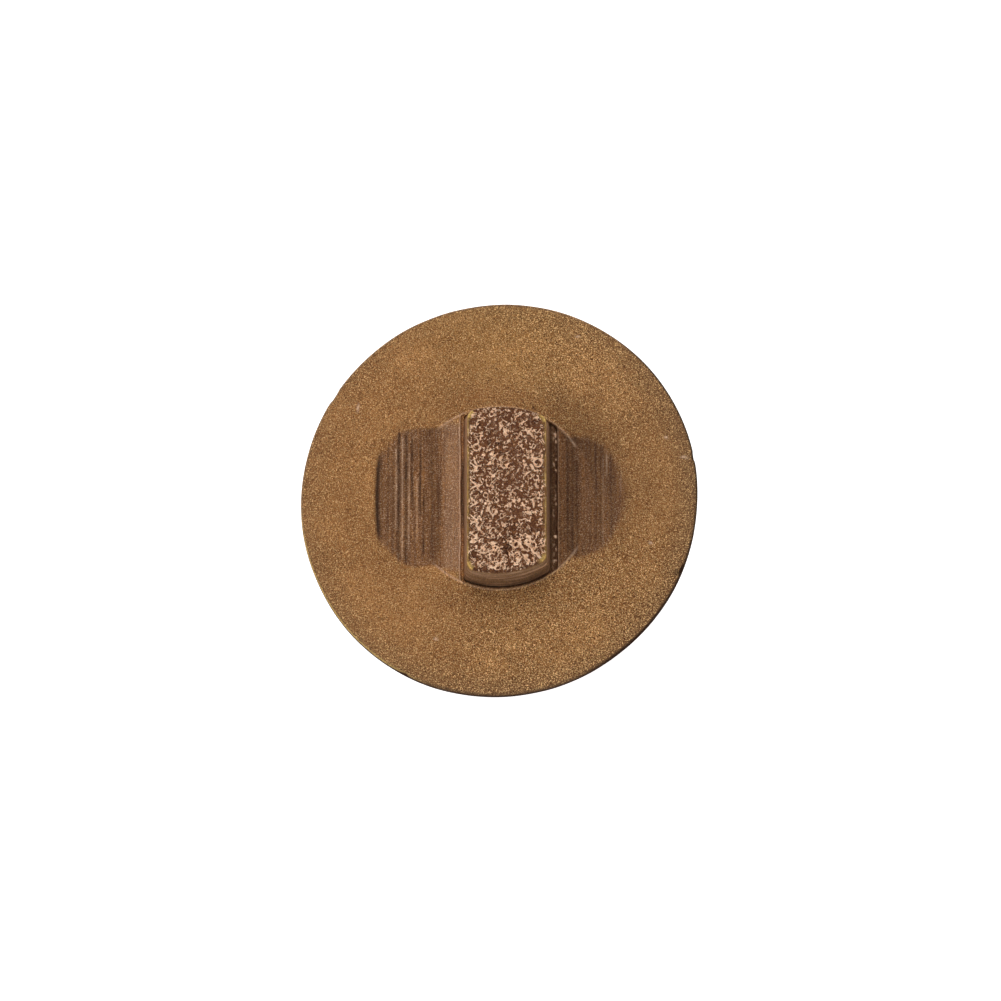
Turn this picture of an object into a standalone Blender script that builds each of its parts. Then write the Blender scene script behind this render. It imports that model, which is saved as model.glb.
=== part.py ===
"""Bronze thru-hull fitting closed by a screw-in plug.

The fitting stands on the inboard end of its stem, with the outboard face up (+Z).
All lengths are metres.
"""
from math import cos, pi, radians, sin, sqrt

import bmesh
import bpy
from mathutils import Matrix

# ---------------------------------------------------------------- driving dimensions
GAP = 0.0003                  # clearance between neighbouring pieces

STEM_RADIUS = 0.0132          # 3/4 in straight pipe thread, major diameter 26.4 mm
STEM_LENGTH = 0.0560          # stem below the flange
BORE_RADIUS = 0.0095          # clear waterway, 3/4 in
FLANGE_RADIUS = 0.0280        # body flange
FLANGE_THICKNESS = 0.0045
THROAT_RADIUS = 0.0108        # counterbore that takes the plug's thread
THROAT_DEPTH = 0.0175         # depth of the counterbore below the flange face
LUG_WIDTH = 0.0034            # internal lugs for the fitting wrench
LUG_HEIGHT = 0.0016
LUG_LENGTH = 0.0120

HULL_GASKET_RADIUS = 0.0270
HULL_GASKET_THICKNESS = 0.0016
HULL_THICKNESS = 0.0120       # room left for the hull between the two gaskets
INNER_GASKET_RADIUS = 0.0215
INNER_GASKET_THICKNESS = 0.0016
BACKING_RADIUS = 0.0220
BACKING_THICKNESS = 0.0030
SLIP_RADIUS = 0.0200
SLIP_THICKNESS = 0.0012
NUT_ACROSS_FLATS = 0.0381     # 1 1/2 in
NUT_THICKNESS = 0.0110
NUT_CHAMFER = 0.0012

PLUG_GASKET_RADIUS = 0.0262
PLUG_GASKET_THICKNESS = 0.0015
HEAD_RADIUS = 0.03175         # plug head, 2 1/2 in across
RIM_THICKNESS = 0.0026
HEAD_RISE = 0.0014            # climb from the rim to the tang's foot
DOME_RADIUS = 0.0158          # the head is level inside this radius
BOSS_FOOT_RADIUS = 0.01475    # drafted round boss that the tang is milled from
BOSS_TOP_RADIUS = 0.0135
BOSS_HEIGHT = 0.0078          # above the level part of the head
TANG_WIDTH = 0.0127           # 1/2 in across the flats
TANG_OFFSET = 0.00125         # the flats are milled slightly off centre
CUTTER_RADIUS = 0.0500
POCKET_DEEP = 0.00115         # how far the -X cutter sinks into the head
POCKET_SHALLOW = 0.00055      # how far the +X cutter sinks into the head
POCKET_END_DEEP = 0.0195      # where the deep pocket stops, from the axis
POCKET_END_SHALLOW = 0.0208
SHANK_RADIUS = 0.0104         # plug thread, 1/2 in pipe size
SHANK_LENGTH = 0.0140
SHANK_CHAMFER = 0.0012

ROUND_STEPS = 48              # sides of the round pieces
RING_STEPS = 40               # sides of the gaskets and washers
SHARP_ANGLE = radians(32.0)

# ---------------------------------------------------------------- stacking along Z
FLANGE_BOTTOM = STEM_LENGTH
FLANGE_TOP = FLANGE_BOTTOM + FLANGE_THICKNESS
HULL_OUTSIDE = FLANGE_BOTTOM - GAP - HULL_GASKET_THICKNESS
INNER_GASKET_TOP = HULL_OUTSIDE - HULL_THICKNESS
BACKING_TOP = INNER_GASKET_TOP - INNER_GASKET_THICKNESS - GAP
SLIP_TOP = BACKING_TOP - BACKING_THICKNESS - GAP
NUT_TOP = SLIP_TOP - SLIP_THICKNESS - GAP
NUT_BOTTOM = NUT_TOP - NUT_THICKNESS
PLUG_GASKET_BOTTOM = FLANGE_TOP + GAP
HEAD_BOTTOM = PLUG_GASKET_BOTTOM + PLUG_GASKET_THICKNESS + GAP
RIM_TOP = HEAD_BOTTOM + RIM_THICKNESS
DOME_TOP = RIM_TOP + HEAD_RISE
TANG_TOP = DOME_TOP + BOSS_HEIGHT
RING_BORE = (STEM_RADIUS + GAP) / cos(pi / RING_STEPS)


def clear_scene():
    for old in list(bpy.data.objects):
        bpy.data.objects.remove(old, do_unlink=True)


def make_material(name, color, roughness, metallic):
    material = bpy.data.materials.new(name)
    material.use_nodes = True
    shader = material.node_tree.nodes["Principled BSDF"]
    shader.inputs["Base Color"].default_value = (*color, 1.0)
    shader.inputs["Roughness"].default_value = roughness
    shader.inputs["Metallic"].default_value = metallic
    return material


# ---------------------------------------------------------------- objects
def add_object(name, bm, material=None):
    """Link the mesh as a smooth-shaded object whose origin is on the fitting's axis."""
    bmesh.ops.recalc_face_normals(bm, faces=bm.faces)
    mesh = bpy.data.meshes.new(name)
    bm.to_mesh(mesh)
    bm.free()
    mesh.shade_smooth()
    mesh.set_sharp_from_angle(angle=SHARP_ANGLE)
    obj = bpy.data.objects.new(name, mesh)
    bpy.context.scene.collection.objects.link(obj)
    if material is not None:
        mesh.materials.append(material)
    return obj


def add_pivot(name, height, pieces):
    """Empty on the fitting's axis that carries the pieces of one moving group."""
    pivot = bpy.data.objects.new(name, None)
    pivot.location = (0.0, 0.0, height)
    bpy.context.scene.collection.objects.link(pivot)
    for piece in pieces:
        piece.parent = pivot
        piece.matrix_parent_inverse = Matrix.Translation(-pivot.location)


def add_boolean(obj, operation, tool):
    modifier = obj.modifiers.new(tool.name, "BOOLEAN")
    modifier.operation = operation
    modifier.solver = "EXACT"
    modifier.object = tool
    tool.hide_render = True
    tool.display_type = "WIRE"


# ---------------------------------------------------------------- shapes
def arc(center_a, center_b, radius, start, end, count):
    """Points of an arc in any plane, from the start angle to the end angle in degrees."""
    points = []
    for i in range(count + 1):
        angle = radians(start + (end - start) * i / count)
        points.append((center_a + radius * cos(angle), center_b + radius * sin(angle)))
    return points


def turned(outline, steps, hollow):
    """Revolve a (radius, height) outline. Hollow joins its ends, else flat caps close it."""
    bm = bmesh.new()
    rings = []
    for step in range(steps):
        angle = 2.0 * pi * step / steps
        rings.append([bm.verts.new((r * cos(angle), r * sin(angle), z)) for r, z in outline])
    spans = len(outline) if hollow else len(outline) - 1
    for step, ring in enumerate(rings):
        following = rings[(step + 1) % steps]
        for i in range(spans):
            j = (i + 1) % len(outline)
            bm.faces.new((ring[i], ring[j], following[j], following[i]))
    if not hollow:
        bm.faces.new([ring[0] for ring in rings])
        bm.faces.new([ring[-1] for ring in rings])
    return bm


def prism(outline, low, high, along_x=False):
    """Extrude an outline from low to high: (x, y) points along Z, or (y, z) points along X."""
    bm = bmesh.new()
    ends = []
    for level in (low, high):
        if along_x:
            ends.append([bm.verts.new((level, a, b)) for a, b in outline])
        else:
            ends.append([bm.verts.new((a, b, level)) for a, b in outline])
        bm.faces.new(ends[-1])
    for i in range(len(outline)):
        j = (i + 1) % len(outline)
        bm.faces.new((ends[0][i], ends[0][j], ends[1][j], ends[1][i]))
    return bm


def flat_ring(name, outer, bore, bottom, thickness, edge, material):
    """Gasket or washer with small chamfers on its outer edges."""
    top = bottom + thickness
    outline = [(bore, bottom), (outer - edge, bottom), (outer, bottom + edge)]
    outline += [(outer, top - edge), (outer - edge, top), (bore, top)]
    return add_object(name, turned(outline, RING_STEPS, hollow=True), material)


# ---------------------------------------------------------------- body
def build_body(material):
    """Mushroom flange, stem, waterway, counterbore for the plug and two inside lugs."""
    nose = 0.0016
    root = 0.0010
    lead_in = 0.0008
    chamfer = 0.0010
    throat_floor = FLANGE_TOP - THROAT_DEPTH
    outline = [(BORE_RADIUS, 0.0), (STEM_RADIUS - chamfer, 0.0), (STEM_RADIUS, chamfer)]
    outline += [(STEM_RADIUS, FLANGE_BOTTOM)]
    outline += arc(FLANGE_RADIUS - nose, FLANGE_BOTTOM + nose, nose, -90.0, 60.0, 5)
    outline += [(FLANGE_RADIUS - 0.0050, FLANGE_TOP), (THROAT_RADIUS + lead_in, FLANGE_TOP)]
    outline += [(THROAT_RADIUS, FLANGE_TOP - lead_in), (THROAT_RADIUS, throat_floor)]
    outline += [(BORE_RADIUS, throat_floor - root)]
    body = add_object("thru_hull_body", turned(outline, ROUND_STEPS, hollow=True), material)
    lug_top = throat_floor - 2.0 * root
    near = BORE_RADIUS - LUG_HEIGHT
    far = BORE_RADIUS + root
    half = LUG_WIDTH / 2.0
    for index, side in enumerate((1.0, -1.0)):
        corners = [(side * near, -half), (side * far, -half), (side * far, half), (side * near, half)]
        lug = add_object(f"lug_{index}", prism(corners, lug_top - LUG_LENGTH, lug_top))
        add_boolean(body, "UNION", lug)
    return body


# ---------------------------------------------------------------- nut
def build_nut(material):
    """Hexagon nut with chamfered corners and a bore that clears the stem."""
    corner_radius = NUT_ACROSS_FLATS / sqrt(3.0)
    hexagon = arc(0.0, 0.0, corner_radius, 0.0, 300.0, 5)
    nut = add_object("hull_nut", prism(hexagon, NUT_BOTTOM, NUT_TOP), material)

    over = 0.0001
    reach = corner_radius + over
    run = 2.0 * NUT_CHAMFER
    cone = [(reach - run, NUT_BOTTOM - over), (reach, NUT_BOTTOM + NUT_CHAMFER)]
    cone += [(reach, NUT_TOP - NUT_CHAMFER), (reach - run, NUT_TOP + over)]
    cone_tool = add_object("nut_cone", turned(cone, ROUND_STEPS, hollow=False))
    add_boolean(nut, "INTERSECT", cone_tool)

    bore = (STEM_RADIUS + GAP) / cos(pi / ROUND_STEPS)
    flare = 0.0012
    hole = [(bore + flare, NUT_BOTTOM - over), (bore, NUT_BOTTOM + flare)]
    hole += [(bore, NUT_TOP - flare), (bore + flare, NUT_TOP + over)]
    add_boolean(nut, "DIFFERENCE", add_object("nut_bore", turned(hole, ROUND_STEPS, hollow=False)))
    return nut


# ---------------------------------------------------------------- plug
def cutter_slice(name, depth, near_x, far_x):
    """Lower part of a large milling cutter whose axis runs along X, sunk to depth at the middle."""
    center_z = DOME_TOP - depth + CUTTER_RADIUS
    outline = arc(0.0, center_z, CUTTER_RADIUS, 220.0, 320.0, 40)
    return add_object(name, prism(outline, near_x, far_x, along_x=True))


def build_plug(material):
    """Domed head and threaded shank, with a round boss milled down to a two-flat wrench tang."""
    shank_bottom = HEAD_BOTTOM - SHANK_LENGTH
    edge = 0.0007
    outline = [(SHANK_RADIUS - SHANK_CHAMFER, shank_bottom)]
    outline += [(SHANK_RADIUS, shank_bottom + SHANK_CHAMFER), (SHANK_RADIUS, HEAD_BOTTOM)]
    outline += [(HEAD_RADIUS - edge, HEAD_BOTTOM), (HEAD_RADIUS, HEAD_BOTTOM + edge)]
    outline += arc(HEAD_RADIUS - edge, RIM_TOP - 2.0 * edge, edge, 0.0, 80.0, 3)
    outline += [(HEAD_RADIUS - 0.0030, RIM_TOP - 0.0003)]
    outline += [(0.5 * (HEAD_RADIUS + DOME_RADIUS), RIM_TOP + 0.45 * HEAD_RISE)]
    outline += [(DOME_RADIUS + 0.0040, RIM_TOP + 0.70 * HEAD_RISE), (DOME_RADIUS, DOME_TOP)]
    outline += [(BOSS_FOOT_RADIUS, DOME_TOP)]
    outline += [(BOSS_TOP_RADIUS, TANG_TOP - edge), (BOSS_TOP_RADIUS - edge, TANG_TOP)]
    plug = add_object("drain_plug", turned(outline, ROUND_STEPS, hollow=False), material)

    left_flat = TANG_OFFSET - TANG_WIDTH / 2.0
    right_flat = TANG_OFFSET + TANG_WIDTH / 2.0
    deep = cutter_slice("deep_cutter", POCKET_DEEP, -POCKET_END_DEEP, left_flat)
    shallow = cutter_slice("shallow_cutter", POCKET_SHALLOW, right_flat, POCKET_END_SHALLOW)
    add_boolean(plug, "DIFFERENCE", deep)
    add_boolean(plug, "DIFFERENCE", shallow)
    return plug


# ---------------------------------------------------------------- assembly
def build():
    clear_scene()
    bronze = make_material("cast_bronze", (0.30, 0.16, 0.07), 0.45, 1.0)
    turned_bronze = make_material("turned_bronze", (0.42, 0.25, 0.11), 0.32, 1.0)
    rubber = make_material("rubber", (0.03, 0.03, 0.03), 0.80, 0.0)
    nylon = make_material("nylon", (0.75, 0.74, 0.68), 0.50, 0.0)

    build_body(turned_bronze)
    flat_ring("hull_gasket", HULL_GASKET_RADIUS, RING_BORE, HULL_OUTSIDE,
              HULL_GASKET_THICKNESS, 0.0003, rubber)

    inner = flat_ring("inner_gasket", INNER_GASKET_RADIUS, RING_BORE,
                      INNER_GASKET_TOP - INNER_GASKET_THICKNESS, INNER_GASKET_THICKNESS, 0.0003, rubber)
    backing = flat_ring("backing_washer", BACKING_RADIUS, RING_BORE,
                        BACKING_TOP - BACKING_THICKNESS, BACKING_THICKNESS, 0.0005, bronze)
    slip = flat_ring("slip_washer", SLIP_RADIUS, RING_BORE,
                     SLIP_TOP - SLIP_THICKNESS, SLIP_THICKNESS, 0.0002, nylon)
    nut = build_nut(turned_bronze)
    add_pivot("nut_axis", NUT_BOTTOM, [inner, backing, slip, nut])

    gasket_bore = (SHANK_RADIUS + GAP) / cos(pi / RING_STEPS)
    seal = flat_ring("plug_gasket", PLUG_GASKET_RADIUS, gasket_bore, PLUG_GASKET_BOTTOM,
                     PLUG_GASKET_THICKNESS, 0.0003, rubber)
    plug = build_plug(bronze)
    add_pivot("plug_axis", HEAD_BOTTOM, [seal, plug])


build()
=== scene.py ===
"""Looks of the bronze thru-hull fitting: cast and milled plug, threaded body, nut and rings."""
import math

import bmesh
import bpy
import numpy as np
from mathutils import Matrix, Vector


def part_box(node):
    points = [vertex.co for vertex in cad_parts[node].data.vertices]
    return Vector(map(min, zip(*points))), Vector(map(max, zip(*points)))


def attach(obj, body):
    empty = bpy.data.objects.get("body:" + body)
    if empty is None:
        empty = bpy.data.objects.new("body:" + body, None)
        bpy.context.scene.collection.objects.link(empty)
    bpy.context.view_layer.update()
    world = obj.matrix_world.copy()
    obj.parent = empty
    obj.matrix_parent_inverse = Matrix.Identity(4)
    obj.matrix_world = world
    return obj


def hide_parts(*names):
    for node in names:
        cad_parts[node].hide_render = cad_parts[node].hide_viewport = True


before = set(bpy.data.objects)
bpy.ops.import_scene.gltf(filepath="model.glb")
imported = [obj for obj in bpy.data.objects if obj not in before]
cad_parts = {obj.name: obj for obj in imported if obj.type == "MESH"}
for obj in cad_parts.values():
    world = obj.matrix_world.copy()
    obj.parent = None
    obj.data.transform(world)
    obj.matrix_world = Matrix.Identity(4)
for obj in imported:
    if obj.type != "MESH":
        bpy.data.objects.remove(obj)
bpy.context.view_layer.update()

MM = 0.001

# ---------------------------------------------------------------- sizes, in millimetres
plug_low, plug_high = (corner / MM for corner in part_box("drain_plug"))
HEAD_RADIUS = plug_high.x
TANG_TOP = plug_high.z
TANG_HEIGHT = 7.8
LEVEL = TANG_TOP - TANG_HEIGHT  # level part of the head, round the tang's foot
SHANK_LENGTH = 14.0
SHANK_BOTTOM = plug_low.z
HEAD_BOTTOM = SHANK_BOTTOM + SHANK_LENGTH
SHANK_RADIUS = 10.4
SHANK_THREAD_DEPTH = 1.05
THREAD_PITCH = 1.814  # 14 threads per inch
THREAD_ROWS = 13  # rings of a thread in one pitch

TANG_LEFT_TOP = -4.85  # flats, slightly drafted
TANG_LEFT_FOOT = -5.60
TANG_RIGHT_TOP = 7.55
TANG_RIGHT_FOOT = 8.10
TANG_MIDDLE = 0.5 * (TANG_LEFT_TOP + TANG_RIGHT_TOP)
TANG_END_TOP = 13.20  # radius of the drafted round ends
TANG_END_FOOT = 14.35
TANG_CORNER = 1.7
FOOT_CORNER = 0.6
TANG_LEAN = -0.10  # the top sits a little off the foot

BOSS_RADIUS = 14.60  # foot of the round boss that the tang is milled from
BOSS_Y = -0.20  # the boss and the tang's foot sit a little off centre
POCKET_RADIUS = 200.0  # the pocket floors sag along the tang
POCKET_RADIUS_NEAR = 118.0  # more so on the left, inside the boss
POCKET_LEFT = 0.66
POCKET_RIGHT = 0.58
POCKET_LEFT_END = -19.6
POCKET_RIGHT_END = 20.7


def smooth(t):
    t = np.clip(t, 0.0, 1.0)
    return t * t * (3.0 - 2.0 * t)


# ---------------------------------------------------------------- repeatable noise
def hashed(ix, iy, seed):
    """Repeatable pseudo-random value from 0 to 1 for each lattice point."""
    h = (ix * 374761393 + iy * 668265263 + seed * 144269504) & 0xFFFFFFFF
    h = ((h ^ (h >> 13)) * 1274126177) & 0xFFFFFFFF
    return ((h ^ (h >> 16)) & 0xFFFF) / 65535.0


def lattice_noise(x, y, size, seed):
    """Smooth gradient noise from about -1 to 1 whose bumps are about size across."""
    u, v = x / size, y / size
    iu, iv = np.floor(u).astype(np.int64), np.floor(v).astype(np.int64)
    fu, fv = u - iu, v - iv

    def corner(du, dv):
        turn = 2.0 * math.pi * hashed(iu + du, iv + dv, seed)
        return np.cos(turn) * (fu - du) + np.sin(turn) * (fv - dv)

    su, sv = smooth(fu), smooth(fv)
    low = corner(0, 0) * (1 - su) + corner(1, 0) * su
    high = corner(0, 1) * (1 - su) + corner(1, 1) * su
    return 1.7 * (low * (1 - sv) + high * sv)


def fractal(x, y, size, seed, octaves=3):
    """Layers of lattice noise, each half as large and turned against the last."""
    total = np.zeros_like(x)
    weight = 0.0
    for octave in range(octaves):
        turn = 0.7 + 1.9 * octave
        c, s = math.cos(turn), math.sin(turn)
        share = 0.5 ** octave
        total += share * lattice_noise(c * x - s * y, s * x + c * y, size * share, seed + 17 * octave)
        weight += share
    return total / weight


def ridged(x, y, size, seed):
    """Sharp crests between rounded hollows, from 0 to 1."""
    return 1.0 - np.abs(lattice_noise(x, y, size, seed))


# ---------------------------------------------------------------- mesh building
def ring_mesh(name, rings, masks, closed=True, sharp=40.0, seam=False):
    """Quads between rings of equal count. Closed joins last to first, else end caps are added.

    With seam, the last ring lies folded flat on a line and its two halves are merged in place of a cap.
    rings is an array of (ring, point, xyz) in millimetres; masks are named arrays of (ring, point).
    """
    count, around, _ = rings.shape
    index = np.arange(count * around).reshape(count, around)
    following = np.roll(index, -1, axis=1)
    spans = count if closed else count - 1
    above = np.roll(index, -1, axis=0)
    quads = np.stack((index, following, np.roll(above, -1, axis=1), above), axis=-1)
    faces = [tuple(q) for q in quads[:spans].reshape(-1, 4).tolist()]
    if not closed:
        faces.append(tuple(index[0][::-1].tolist()))
        if not seam:
            faces.append(tuple(index[-1].tolist()))
    mesh = bpy.data.meshes.new(name)
    mesh.from_pydata((rings.reshape(-1, 3) * MM).tolist(), [], faces)
    mesh.validate()
    for mask, values in masks.items():
        layer = mesh.attributes.new(mask, "FLOAT", "POINT")
        layer.data.foreach_set("value", np.ascontiguousarray(values, np.float32).ravel())
    if seam:
        joined = bmesh.new()
        joined.from_mesh(mesh)
        bmesh.ops.remove_doubles(joined, verts=joined.verts, dist=0.002 * MM)
        joined.to_mesh(mesh)
        joined.free()
    mesh.shade_smooth()
    mesh.set_sharp_from_angle(angle=math.radians(sharp))
    obj = bpy.data.objects.new(name, mesh)
    bpy.context.scene.collection.objects.link(obj)
    return obj


def place(obj, body, material, node):
    """Finish a piece: its material, the body it rides on and the CAD node it stands for."""
    obj.data.materials.append(material)
    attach(obj, body)
    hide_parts(node)


# ---------------------------------------------------------------- outline of the tang
COARSE = (100, 20, 124)  # points along a flat, a corner and a round end
FINE = (190, 18, 124)


def tang_outline(end_radius, left_x, right_x, corner, counts):
    """Points and outward normals round the tang: flats at -X and +X, round ends, round corners."""
    flat_steps, corner_steps, end_steps = counts
    right = right_x - corner
    left = left_x + corner
    right_y = math.sqrt((end_radius - corner) ** 2 - right ** 2)
    left_y = math.sqrt((end_radius - corner) ** 2 - left ** 2)
    right_turn = math.atan2(right_y, right)
    left_turn = math.atan2(left_y, left)
    full = 2.0 * math.pi
    points, normals = [], []

    def sweep(cx, cy, radius, first, last, steps):
        turns = first + (last - first) * np.arange(steps) / steps
        normal = np.stack((np.cos(turns), np.sin(turns)), axis=1)
        normals.append(normal)
        points.append(np.array((cx, cy)) + radius * normal)

    def flat(x, start, stop, side):
        run = start + (stop - start) * np.arange(flat_steps) / flat_steps
        points.append(np.stack((np.full_like(run, x), run), axis=1))
        normals.append(np.tile((side, 0.0), (flat_steps, 1)))

    flat(right_x, -right_y, right_y, 1.0)
    sweep(right, right_y, corner, 0.0, right_turn, corner_steps)
    sweep(0.0, 0.0, end_radius, right_turn, left_turn, end_steps)
    sweep(left, left_y, corner, left_turn, math.pi, corner_steps)
    flat(left_x, left_y, -left_y, -1.0)
    sweep(left, -left_y, corner, math.pi, full - left_turn, corner_steps)
    sweep(0.0, 0.0, end_radius, full - left_turn, full - right_turn, end_steps)
    sweep(right, -right_y, corner, full - right_turn, full, corner_steps)
    return np.concatenate(points), np.concatenate(normals)


def foot_outline(counts):
    """Outline of the tang where it meets the head, with almost sharp corners."""
    points, normals = tang_outline(TANG_END_FOOT, TANG_LEFT_FOOT, TANG_RIGHT_FOOT, FOOT_CORNER, counts)
    return points + np.array((0.0, BOSS_Y)), normals


def top_outline(counts):
    """Outline of the tang's top: its ends are flatter than the foot's and a little uneven."""
    points, normals = tang_outline(TANG_END_TOP, TANG_LEFT_TOP, TANG_RIGHT_TOP, TANG_CORNER, counts)
    across = np.clip((points[:, 0] - TANG_MIDDLE) / 6.25, -1.0, 1.0)
    bow = 1.0 - across ** 2
    shift = np.where(points[:, 1] > 0.0, 0.24 * (1.0 + across) - 0.45 * bow, 0.25 * bow - 0.42)
    points[:, 1] += shift * smooth((np.abs(points[:, 1]) - 3.0) / 8.0) + TANG_LEAN
    return points, normals


def turned_from(angle, degrees):
    """Turn in degrees, from -180 to 180, between each angle and a direction."""
    return np.degrees(np.angle(np.exp(1j * (angle - math.radians(degrees)))))


# ---------------------------------------------------------------- surface of the head
def dome(r):
    """Height of the turned head below its level part."""
    shoulder = -0.55 * smooth((r - 14.9) / 6.6)
    flange = -0.75 * np.clip((r - 20.0) / 11.0, 0.0, 1.2) ** 1.25
    return shoulder + flange


# casting pits in the flange: (x, y, radius, depth)
PITS = ((28.0, -12.0, 0.55, 0.22), (20.8, 13.3, 0.35, 0.20), (1.7, -25.8, 0.70, 0.10),
        (3.1, -26.6, 0.35, 0.12), (0.4, -24.9, 0.30, 0.10), (-23.4, 8.2, 0.30, 0.10),
        (-9.6, 24.4, 0.35, 0.10), (14.2, -23.0, 0.30, 0.12), (-18.8, -19.2, 0.32, 0.10),
        (9.0, 19.5, 0.30, 0.08))
# small dents, painted bright as highlights: (x, y, half length, half width)
DENTS = ((29.3, 6.4, 0.50, 0.16), (26.4, 9.6, 0.22, 0.18), (-22.2, 14.6, 0.35, 0.14),
         (-9.8, -22.6, 0.20, 0.20), (23.8, -7.4, 0.25, 0.15), (12.5, 26.0, 0.30, 0.14))


def cast_marks(x, y):
    """Depth of the casting pits and the bright spots of the dents."""
    pits = np.zeros_like(x)
    dents = np.zeros_like(x)
    for pit_x, pit_y, size, depth in PITS:
        away = np.hypot(x - pit_x, y - pit_y) / size
        pits += depth * np.exp(-away ** 2)
    for dent_x, dent_y, length, width in DENTS:
        dents += np.exp(-((x - dent_x) / length) ** 2 - ((y - dent_y) / width) ** 2)
    return pits, dents


def cast_grain(x, y):
    """Sand-cast skin: broad waves, small pits, and fine grit that coarsens towards +X and -Y."""
    waves = 0.030 * fractal(x, y, 5.0, 3)
    coarse = 0.75 + 0.35 * smooth((x - 0.6 * y + 4.0) / 26.0)
    grit = 0.030 * fractal(x + 40.0, y, 0.80, 11, 2) * coarse
    pits = -0.05 * smooth((fractal(x, y + 25.0, 0.8, 23, 2) - 0.45) / 0.3)
    return waves + grit + pits


# tool lines along the tang: (x, half width, depth, lowest y, highest y); below zero is a raised ridge that
# gets a painted highlight
TOOL_LINES = ((-17.50, 0.17, 0.050, -8.1, 10.6), (-15.83, 0.20, 0.085, -10.9, 11.3),
              (-14.71, 0.19, 0.080, -10.9, 10.6), (-13.76, 0.14, 0.090, -2.0, 9.8),
              (-12.48, 0.14, 0.085, -2.8, 8.2), (-11.90, 0.14, 0.095, -9.8, 1.8),
              (-10.60, 0.22, 0.040, -9.5, 8.0), (-9.60, 0.25, 0.040, -9.0, 3.0),
              (-18.50, 0.20, 0.030, -7.0, 6.0), (-16.70, 0.16, 0.030, -9.0, 4.0),
              (-15.27, 0.12, -0.035, -9.5, 9.8), (-14.22, 0.11, -0.030, -8.0, 7.0),
              (-16.25, 0.12, -0.030, -5.0, 8.0), (-12.95, 0.13, -0.025, -7.0, 3.0),
              (10.80, 0.16, 0.040, -9.0, 9.5), (11.60, 0.15, 0.045, -10.0, 9.0),
              (12.25, 0.17, 0.050, -9.8, 6.0), (14.50, 0.15, 0.035, -8.0, 8.5),
              (15.30, 0.17, 0.040, -7.5, 8.5), (16.00, 0.14, 0.045, -7.5, 8.0),
              (17.70, 0.15, 0.030, -6.5, 7.0), (16.40, 0.12, -0.012, -8.0, 6.5),
              (16.95, 0.12, -0.030, 3.5, 7.4), (19.20, 0.12, -0.018, 1.0, 6.0))


def tool_lines(x, y):
    """Depth of the tool lines, how dark they are painted with dirt and painted shade, and the ridges
    between them, which get painted highlights.
    """
    depth = np.zeros_like(x)
    dirt_and_shade = np.zeros_like(x)
    ridge = np.zeros_like(x)
    for line_x, width, cut, low, high in TOOL_LINES:
        wander = 0.08 * fractal(y, y * 0.0 + 3.1 * line_x, 3.2, 5, 4)
        length = smooth((y - low + 0.9) / 1.8) * smooth((high + 0.9 - y) / 1.8)
        broken = 0.80 + 0.60 * fractal(y + 7.0 * line_x, y * 0.0 + line_x, 1.7, 9, 3)
        mark = np.exp(-((x + wander - line_x) / width) ** 2) * length * np.clip(broken, 0.35, 1.0)
        depth += cut * mark
        dirt_and_shade += max(cut, 0.0) / 0.105 * mark
        ridge += max(-cut, 0.0) / 0.035 * mark
    return depth, np.clip(dirt_and_shade, 0.0, 1.0), np.clip(ridge, 0.0, 1.0)


def pocket_floor(x, y):
    """Floor on either side of the tang (shallow sag, streaks, tool lines), its dirt and painted shade, and
    its ridges for painted highlights.
    """
    left = x < TANG_MIDDLE
    depth = np.where(left, POCKET_LEFT, POCKET_RIGHT)
    near = left * smooth((x + 13.5) / 3.5)
    sag = (1.0 - near) / (2.0 * POCKET_RADIUS) + near / (2.0 * POCKET_RADIUS_NEAR)
    floor = y * y * sag - depth
    floor += 0.014 * lattice_noise(x, y * 0.10, 0.55, 7)
    floor += 0.020 * lattice_noise(x + 9.0, y * 0.07, 1.3, 8)
    lines, dirt_and_shade, ridge = tool_lines(x, y)
    return floor - lines, dirt_and_shade, ridge


def foot_groove(x, y):
    """Groove beside each flat: share of the full depth, and distance beyond its outer edge."""
    left = x < TANG_MIDDLE
    out = np.where(left, TANG_LEFT_FOOT - x, x - TANG_RIGHT_FOOT)
    wide = np.where(left, 0.46, 1.12)
    wide = wide + 0.05 * lattice_noise(y, y * 0.0 + 4.0 * left, 3.0, 19)
    return smooth((out + 0.25) / 0.3) * (1.0 - smooth((out - wide + 0.16) / 0.22)), out - wide


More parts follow.
